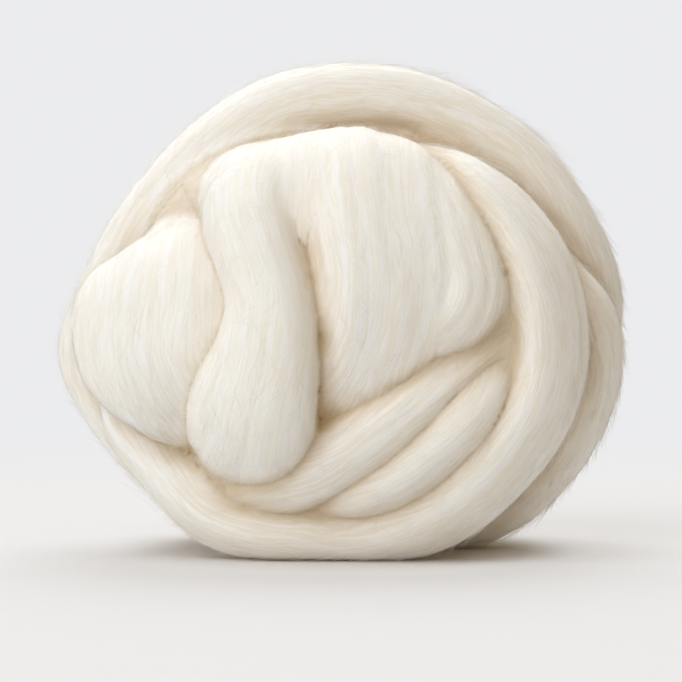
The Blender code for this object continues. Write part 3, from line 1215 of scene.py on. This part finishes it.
def place_on_map(g, given):
    """Where on the map each point of a fibre lies: across the strand a little, and mostly along."""
    way = g.named("way")
    length = given["Length"] * (SHORTEST + LONGER * g.named("reach"))
    slant = (g.named("slant") - 0.5) * 2.0
    slant = slant * g.math("ABSOLUTE", slant) * given["Stray"]
    wave = g.math("SINE", way * BENDS + g.named("phase") * FULL_TURN) * given["Wave"]
    ahead = length * (way - 0.5) * g.math("COSINE", slant)
    aside = length * (way - 0.5) * g.math("SINE", slant) + wave
    per_unit = 1 / (SHEET * MM)
    return g.vector("ADD", g.named("root", "FLOAT_VECTOR"), g.xyz(ahead * per_unit, aside * per_unit))


def laid_on_skin(g, given, laid):
    """The lines lying on the skin, without the points that fall off the map."""
    place = place_on_map(g, given)

    def on_skin(field):
        inputs = {
            "Mesh": given["Skin"],
            "Value": field,
            "UV Map": g.named("OFBake", "FLOAT_VECTOR"),
            "Sample UV": place,
        }
        node = g.node("GeometryNodeSampleUVSurface", {"data_type": "FLOAT_VECTOR"}, inputs)
        return Value(g, node.outputs["Value"]), Value(g, node.outputs["Is Valid"])

    seen, _ = on_skin(g.xyz(g.named("open")))
    position, on_map = on_skin(g.value("GeometryNodeInputPosition"))
    normal, _ = on_skin(g.value("GeometryNodeInputNormal"))
    way = g.named("way")
    middle = way * 2.0 - 1.0
    bow = 1.0 - middle * middle * DIVE
    loose = way ** 2.0 * (LEAST_RISE + g.named("height") * g.named("height"))
    lift = given["Lift"] * bow + given["Free end"] * loose
    x, y, z = g.parts(g.vector("ADD", position, g.scaled(normal, lift)))
    above_floor = g.math("MAXIMUM", z, given["Thickness"] * 0.6)
    laid = g.store(laid, "open", g.parts(seen)[0])
    laid = g.store(laid, "skin normal", normal, "FLOAT_VECTOR")
    laid = g.store(laid, "off map", 1.0 - on_map)
    inputs = {"Geometry": laid, "Position": g.xyz(x, y, above_floor)}
    laid = g.value("GeometryNodeSetPosition", (), inputs)
    inputs = {"Geometry": laid, "Selection": g.named("off map")}
    return g.value("GeometryNodeDeleteGeometry", {"domain": "POINT"}, inputs)


print("a fibre is", SHORTEST, "to", SHORTEST + LONGER, "times as long as it is asked to be")

# %% [markdown]
# ## From a line to a fibre
#
# A tube with three sides costs the fewest faces. Shaded by its own normals it would look like a
# wire, dark on one side, while a real fibre is so fine that it takes the light of the wool round
# it. So its normals are turned towards the skin's. Every fibre also gets a small cell of its own
# on the map.

# %% Tubes, and the whole tree
TAPER = 1.02  # slightly over 1, so that the tips keep a little girth
CELLS = 80.0  # cells along each side of the map, used again when there are more fibres
MARGIN = 0.1  # of a cell


def tubes_along(g, given, laid):
    """A thin three-sided tube along each line, shaded almost as the skin under it is."""
    profile = g.value("GeometryNodeCurvePrimitiveCircle", (), {"Resolution": 3, "Radius": 1.0})
    profile = g.store(profile, "side", g.value("GeometryNodeSplineParameter", (), (), "Factor"))
    from_middle = g.math("ABSOLUTE", g.named("way") * 2.0 - 1.0)
    girth = given["Thickness"] * 0.5 * (TAPER - from_middle ** 3.0)
    inputs = {"Curve": laid, "Profile Curve": profile, "Scale": girth, "Fill Caps": True}
    tubes = g.value("GeometryNodeCurveToMesh", (), inputs)
    own_normal = g.value("GeometryNodeInputNormal", (), (), "Normal")
    rounded = g.scaled(own_normal, 1 - given["Flatness"])
    flat = g.scaled(g.named("skin normal", "FLOAT_VECTOR"), given["Flatness"])
    tubes = g.value("GeometryNodeSetShadeSmooth", (), {"Geometry": tubes})
    normal = g.vector("NORMALIZE", g.vector("ADD", rounded, flat))
    settings = {"mode": "FREE", "domain": "POINT"}
    return g.value("GeometryNodeSetMeshNormal", settings, {"Mesh": tubes, "Custom Normal": normal})


def cell_on_map(g):
    """The fibre's own small cell of the map, filled from one margin to the other."""
    number = g.named("number")
    column = g.math("FLOORED_MODULO", number, CELLS)
    row = g.math("FLOORED_MODULO", g.math("FLOOR", number / CELLS), CELLS)
    filled = 1 - 2 * MARGIN
    u = (column + MARGIN + g.named("side") * filled) / CELLS
    v = (row + MARGIN + g.named("way") * filled) / CELLS
    return g.xyz(u, v)


def fibre_tree():
    """The whole tree, from the skin that it is given to the fibres."""
    tree = bpy.data.node_groups.new("fibres", "GeometryNodeTree")
    tree.interface.new_socket("Skin", in_out="INPUT", socket_type="NodeSocketGeometry")
    for name, kind, default in INPUTS:
        socket = tree.interface.new_socket(name, in_out="INPUT", socket_type=kind)
        if default is not None:
            socket.default_value = default
    tree.interface.new_socket("Fibres", in_out="OUTPUT", socket_type="NodeSocketGeometry")
    g = FibreGraph(tree)
    group = g.node("NodeGroupInput")
    given = {socket.name: Value(g, socket) for socket in group.outputs if socket.name}
    laid = laid_on_skin(g, given, lines_from(g, given, roots_on(g, given)))
    tubes = g.store(tubes_along(g, given, laid), "OFBake", cell_on_map(g), "FLOAT2", "CORNER")
    tubes = g.value("GeometryNodeSetMaterial", (), {"Geometry": tubes, "Material": given["Finish"]})
    tubes = g.value("GeometryNodeRealizeInstances", (), {"Geometry": tubes})
    end = g.node("NodeGroupOutput")
    g.plug(end.inputs["Fibres"], tubes)
    return tree


fibres = fibre_tree()
print("the fibre tree has", len(fibres.nodes), "nodes")

# %% [markdown]
# ## Colour of the fibres
#
# Each fibre has a random number of its own from the tree, called pale. It sets how light the fibre
# is, so that neighbours differ a little, as they do in wool from more than one sheep. A single
# fibre is too thin for light to spread in it, so this finish has no subsurface scattering.

# %% Fibre finish
LOOSE_DARK = (0.80, 0.74, 0.62, 1.0)
LOOSE_LIGHT = (1.0, 0.99, 0.97, 1.0)


def fibre_wool(name, dark, light):
    """Wool for fibres, each somewhere between the two colours, with painted crease shade."""
    material = bpy.data.materials.new(name)
    shader = shader_of(material)
    g = Graph(material.node_tree)
    colour = g.colour(dark, light, g.attribute("pale"))
    # The same painted crease shade, from the openness of the skin under each fibre.
    g.plug(shader.inputs["Base Color"], with_painted_crease_shade(g, colour))
    rough_and_soft(shader, 0.0)
    return material


loose_wool = fibre_wool("loose fibres", LOOSE_DARK, LOOSE_LIGHT)
print("finish of the fibres:", loose_wool.name)

# %% [markdown]
# ## Four kinds of fibre
#
# Fuzz is the short nap all over the ball, and down is shorter and finer and fills the gaps in it.
# The halo stands further off and softens the outline, and flyaways are the few long hairs. Real
# fibres are several times thinner than these, and there are far more of them than a mesh can hold.
# A fibre this thick would throw a shadow like a thread's, so none of them throws one.

# %% Growing the fibres
ALL_KINDS = {"Lift": 0.1 * MM, "Finish": loose_wool}
KINDS = {
    "fuzz": {
        "Per square metre": 150000.0, "Length": 7.0 * MM, "Thickness": 0.07 * MM,
        "Free end": 2.4 * MM, "Stray": 1.4, "Wave": 0.3 * MM, "Points": 4, "Seed": 31,
        "Flatness": 0.5,
    },
    "down": {
        "Per square metre": 180000.0, "Length": 4.5 * MM, "Thickness": 0.04 * MM,
        "Free end": 1.2 * MM, "Stray": 1.5, "Wave": 0.2 * MM, "Points": 3, "Seed": 51,
        "Flatness": 0.6,
    },
    "halo": {
        "Per square metre": 140000.0, "Length": 8.0 * MM, "Thickness": 0.05 * MM,
        "Free end": 3.2 * MM, "Stray": 1.6, "Wave": 0.6 * MM, "Points": 4, "Seed": 61,
        "Flatness": 0.5,
    },
    "flyaways": {
        "Per square metre": 16000.0, "Length": 24.0 * MM, "Thickness": 0.06 * MM,
        "Free end": 4.0 * MM, "Stray": 1.0, "Wave": 1.6 * MM, "Points": 11, "Seed": 41,
        "Flatness": 0.3,
    },
}
KEPT = ("position", "OFBake", "pale", "open", "material_index", "sharp_face", "custom_normal")


def grown(piece_name, skin, sizes):
    """The fibres that the tree grows on this skin, as a plain mesh of their own."""
    holder = bpy.data.objects.new(piece_name + " holder", skin.data)
    bpy.context.scene.collection.objects.link(holder)
    modifier = holder.modifiers.new("fibres", "NODES")
    modifier.node_group = fibres
    sockets = [item for item in fibres.interface.items_tree if item.in_out == "INPUT"]
    keys = {socket.name: socket.identifier for socket in sockets}
    for name, value in {**ALL_KINDS, **sizes}.items():
        modifier[keys[name]] = value
    grown_on = holder.evaluated_get(bpy.context.evaluated_depsgraph_get())
    mesh = bpy.data.meshes.new_from_object(grown_on)
    mesh.name = piece_name
    bpy.data.objects.remove(holder)
    for name in [attribute.name for attribute in mesh.attributes]:
        if name not in KEPT and not name.startswith("."):
            mesh.attributes.remove(mesh.attributes[name])
    piece = bpy.data.objects.new(piece_name, mesh)
    bpy.context.scene.collection.objects.link(piece)
    piece.visible_shadow = False
    mesh.calc_loop_triangles()
    print(piece_name, "has", len(mesh.loop_triangles), "triangles")
    return piece


grown_pieces = [grown(kind, wool_skin, sizes) for kind, sizes in KINDS.items()]

# %% [markdown]
# ## Putting the pieces on the part
#
# The ball is one solid in the part. All these pieces stand for it and move with it.

# %% Pieces on the part
pieces = [wool_skin, *grown_pieces]
for piece in pieces:
    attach(piece, "root")
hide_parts("roving_ball")
print(len(pieces), "pieces")

# %% [markdown]
# ## The floor
#
# The ball stands on a plain pale floor that fades out into an even pale surround. In a bright room
# the light that comes back from walls and ceiling keeps a shadow on such a floor very light. Lamps
# enough for that would flatten the ball, so the floor itself glows a little instead, everywhere
# but right under the ball, and is darker by as much.

# %% Floor
FLOOR_RADIUS = 0.75  # in metres, like the two spans below
FADE = (0.05, 0.7)  # the floor fades out between these distances from the middle
GLOW = (0.046, 0.066)  # it starts to glow between these
UNDER_BALL = (0.76, 0.75, 0.74, 1.0)
AROUND = (0.42, 0.415, 0.41, 1.0)
NO_GLOW = (0.0, 0.0, 0.0, 1.0)
SOFT_GLOW = (0.34, 0.34, 0.34, 1.0)


def over(g, distance, span, near, far):
    """A value that turns softly from near to far over this span of distance."""
    inputs = {
        "Value": distance, "From Min": span[0], "From Max": span[1], "To Min": near, "To Max": far,
    }
    return g.value("ShaderNodeMapRange", {"interpolation_type": "SMOOTHSTEP"}, inputs)


def floor_finish():
    material = bpy.data.materials.new("pale floor")
    shader = shader_of(material)
    g = Graph(material.node_tree)
    place = g.value("ShaderNodeTexCoord", (), (), "Object")
    distance = g.vector("LENGTH", place, output="Value")
    glow = over(g, distance, GLOW, 0.0, 1.0)
    g.plug(shader.inputs["Base Color"], g.colour(UNDER_BALL, AROUND, glow))
    g.plug(shader.inputs["Emission Color"], g.colour(NO_GLOW, SOFT_GLOW, glow))
    shader.inputs["Emission Strength"].default_value = 1.0
    shader.inputs["Roughness"].default_value = 0.9
    g.plug(shader.inputs["Alpha"], over(g, distance, FADE, 1.0, 0.0))
    return material


floor_mesh = bpy.data.meshes.new("floor")
bm = bmesh.new()
bmesh.ops.create_circle(bm, cap_ends=True, segments=96, radius=FLOOR_RADIUS)
bm.to_mesh(floor_mesh)
bm.free()
floor_mesh.materials.append(floor_finish())
floor = bpy.data.objects.new("floor", floor_mesh)
bpy.context.scene.collection.objects.link(floor)
print("floor, m across:", 2 * FLOOR_RADIUS)

# %% [markdown]
# ## Light
#
# One large soft window at the front left does most of the work. A skylight behind the ball
# brightens its top and edges, and a weak lamp stands for the rest of the room. The surround does
# two jobs, which a Light Path node tells apart: the camera sees it nearly white, and what it gives
# to the wool is weaker and warm, as light is that has been on wool before.

# %% Surround and lamps
SEEN_COLOUR = (0.982, 0.985, 1.0, 1.0)
GIVEN_COLOUR = (1.0, 0.79, 0.50, 1.0)
SEEN_STRENGTH = 0.85
GIVEN_STRENGTH = 0.33
AIM = Vector((0, 0, 0.06))  # all the lamps point at the ball's middle
WINDOW_LIGHT = (0.85, 0.905, 1.0)
SKY_LIGHT = (0.87, 0.915, 1.0)

scene = bpy.context.scene
world = bpy.data.worlds.new("pale surround")
scene.world = world
world.use_nodes = True
g = Graph(world.node_tree)
background = world.node_tree.nodes["Background"]
seen = g.value("ShaderNodeLightPath", (), (), "Is Camera Ray")
g.plug(background.inputs["Color"], g.colour(GIVEN_COLOUR, SEEN_COLOUR, seen))
g.plug(background.inputs["Strength"], GIVEN_STRENGTH + seen * (SEEN_STRENGTH - GIVEN_STRENGTH))


def lamp(name, place, size, watts, colour):
    """A round soft lamp that points at the ball."""
    light = bpy.data.lights.new(name, "AREA")
    light.shape = "DISK"
    light.size = size
    light.energy = watts
    light.color = colour
    holder = bpy.data.objects.new(name, light)
    scene.collection.objects.link(holder)
    holder.location = place
    holder.rotation_euler = (AIM - holder.location).to_track_quat("-Z", "Y").to_euler()


lamp("window", (-0.8, -0.95, 0.85), 1.6, 17.4, WINDOW_LIGHT)
lamp("skylight", (0.05, 0.75, 1.15), 1.2, 14.5, SKY_LIGHT)
lamp("room", (0.6, -0.6, 1.35), 1.2, 2.8, SKY_LIGHT)
scene.view_settings.view_transform = "Standard"
scene.cycles.diffuse_bounces = 8  # white wool passes light on many times
print("lamps:", [light.name for light in bpy.data.lights])

# %% [markdown]
# ## The camera
#
# The photograph was taken from just above the floor, level, with a long lens, so the ball's
# outline hardly shows any perspective.

# %% The camera
camera_data = bpy.data.cameras.new("camera")
camera_data.lens = 119
camera_data.sensor_width = 36
camera = bpy.data.objects.new("camera", camera_data)
scene.collection.objects.link(camera)
camera.location = (-0.0004, -0.6025, 0.0554)
camera.rotation_euler = (math.radians(90), 0, 0)
scene.camera = camera
print("camera", round(-camera.location.y, 3), "m in front of the ball's middle")

# %% [markdown]
